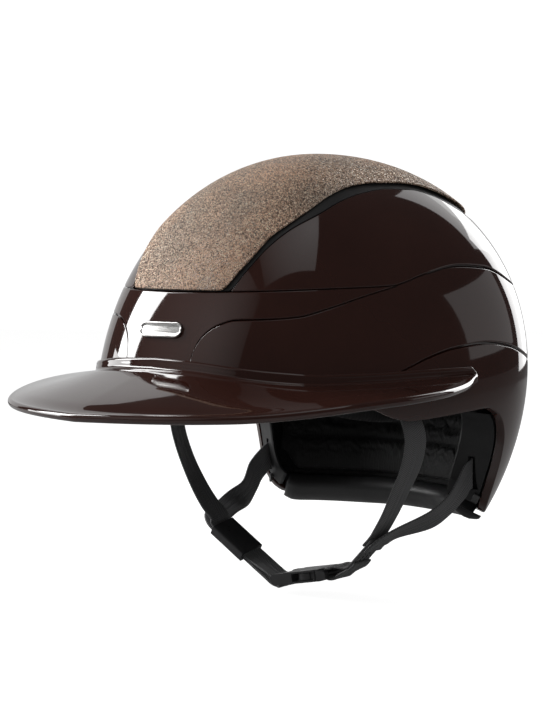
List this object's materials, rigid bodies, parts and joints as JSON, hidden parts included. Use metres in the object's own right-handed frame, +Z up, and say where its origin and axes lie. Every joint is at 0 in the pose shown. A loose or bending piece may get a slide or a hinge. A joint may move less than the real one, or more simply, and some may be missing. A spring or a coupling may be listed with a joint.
{
  "type": "riding helmet",
  "caption": "Riding helmet with a wide curved brim, glossy cover panels, a textured top insert, foam liner with pads, and a webbing harness with a side-release chin buckle",
  "frame": {"origin": "centre of the shell's plan on the headband plane, where the mount head_seat is", "axes": "+Z up out of the crown, -Y to the front where the brim points, +X to the wearer's left"},
  "size_m": [0.2774, 0.3157, 0.2625],
  "materials": {
    "shell": "very dark brown high-gloss lacquer",
    "insert": "fine bronze glitter weave",
    "badge": "plain satin metal plate",
    "trim": "satin black moulding",
    "tab": "satin grey moulding",
    "foam": "dark expanded foam",
    "padding": "black brushed liner fabric over foam",
    "webbing": "dark grey woven webbing with stitched edges",
    "buckle": "satin black moulded plastic"
  },
  "bodies": {
    "helmet": {"outer_shell": "shell", "upper_cover": "shell", "front_panel": "shell", "mid_band": "shell", "insert_base": "trim", "top_insert": "insert", "front_badge": "badge", "visor": "shell", "foam_liner": "foam", "liner_trim": "trim", "nape_trim": "trim", "crown_pad": "padding", "headband_pad": "padding", "occipital_pad": "padding", "left_notch_cover": "trim", "right_notch_cover": "trim", "left_strap_tab": "tab", "right_strap_tab": "tab", "left_anchor": "trim", "right_anchor": "trim", "left_front_strap": "webbing", "left_rear_strap": "webbing", "right_front_strap": "webbing", "right_rear_strap": "webbing", "chin_strap": "webbing", "buckle_female": "buckle"},
    "divider": {"strap_divider": "buckle"},
    "release": {"buckle_male": "buckle", "left_strap_joint": "webbing"},
    "front_arm": {"front_prong": "buckle"},
    "rear_arm": {"rear_prong": "buckle"}
  },
  "joints": [
    {"name": "clip_release", "type": "slide", "parent": "helmet", "child": "release", "axis": [0.9848, -0.0121, 0.1732], "range_m": [0, 0.018], "deforming": ["left_front_strap", "left_rear_strap"]},
    {"name": "front_prong_flex", "type": "hinge", "parent": "release", "child": "front_arm", "pos_m": [0.0164, -0.00472, -0.1122], "axis": [0.1736, 0.0687, -0.9824], "range_deg": [0, 17]},
    {"name": "rear_prong_flex", "type": "hinge", "parent": "release", "child": "rear_arm", "pos_m": [0.0164, 0.01164, -0.11106], "axis": [-0.1736, -0.0687, 0.9824], "range_deg": [0, 17]},
    {"name": "divider_slide", "type": "slide", "parent": "helmet", "child": "divider", "axis": [0.809, 0.1422, -0.5703], "range_m": [0, 0.005]}
  ],
  "couplings": [
    {"joint": "front_prong_flex", "follows": "clip_release", "rad_per_m": 15.708},
    {"joint": "rear_prong_flex", "follows": "clip_release", "rad_per_m": 15.708}
  ]
}
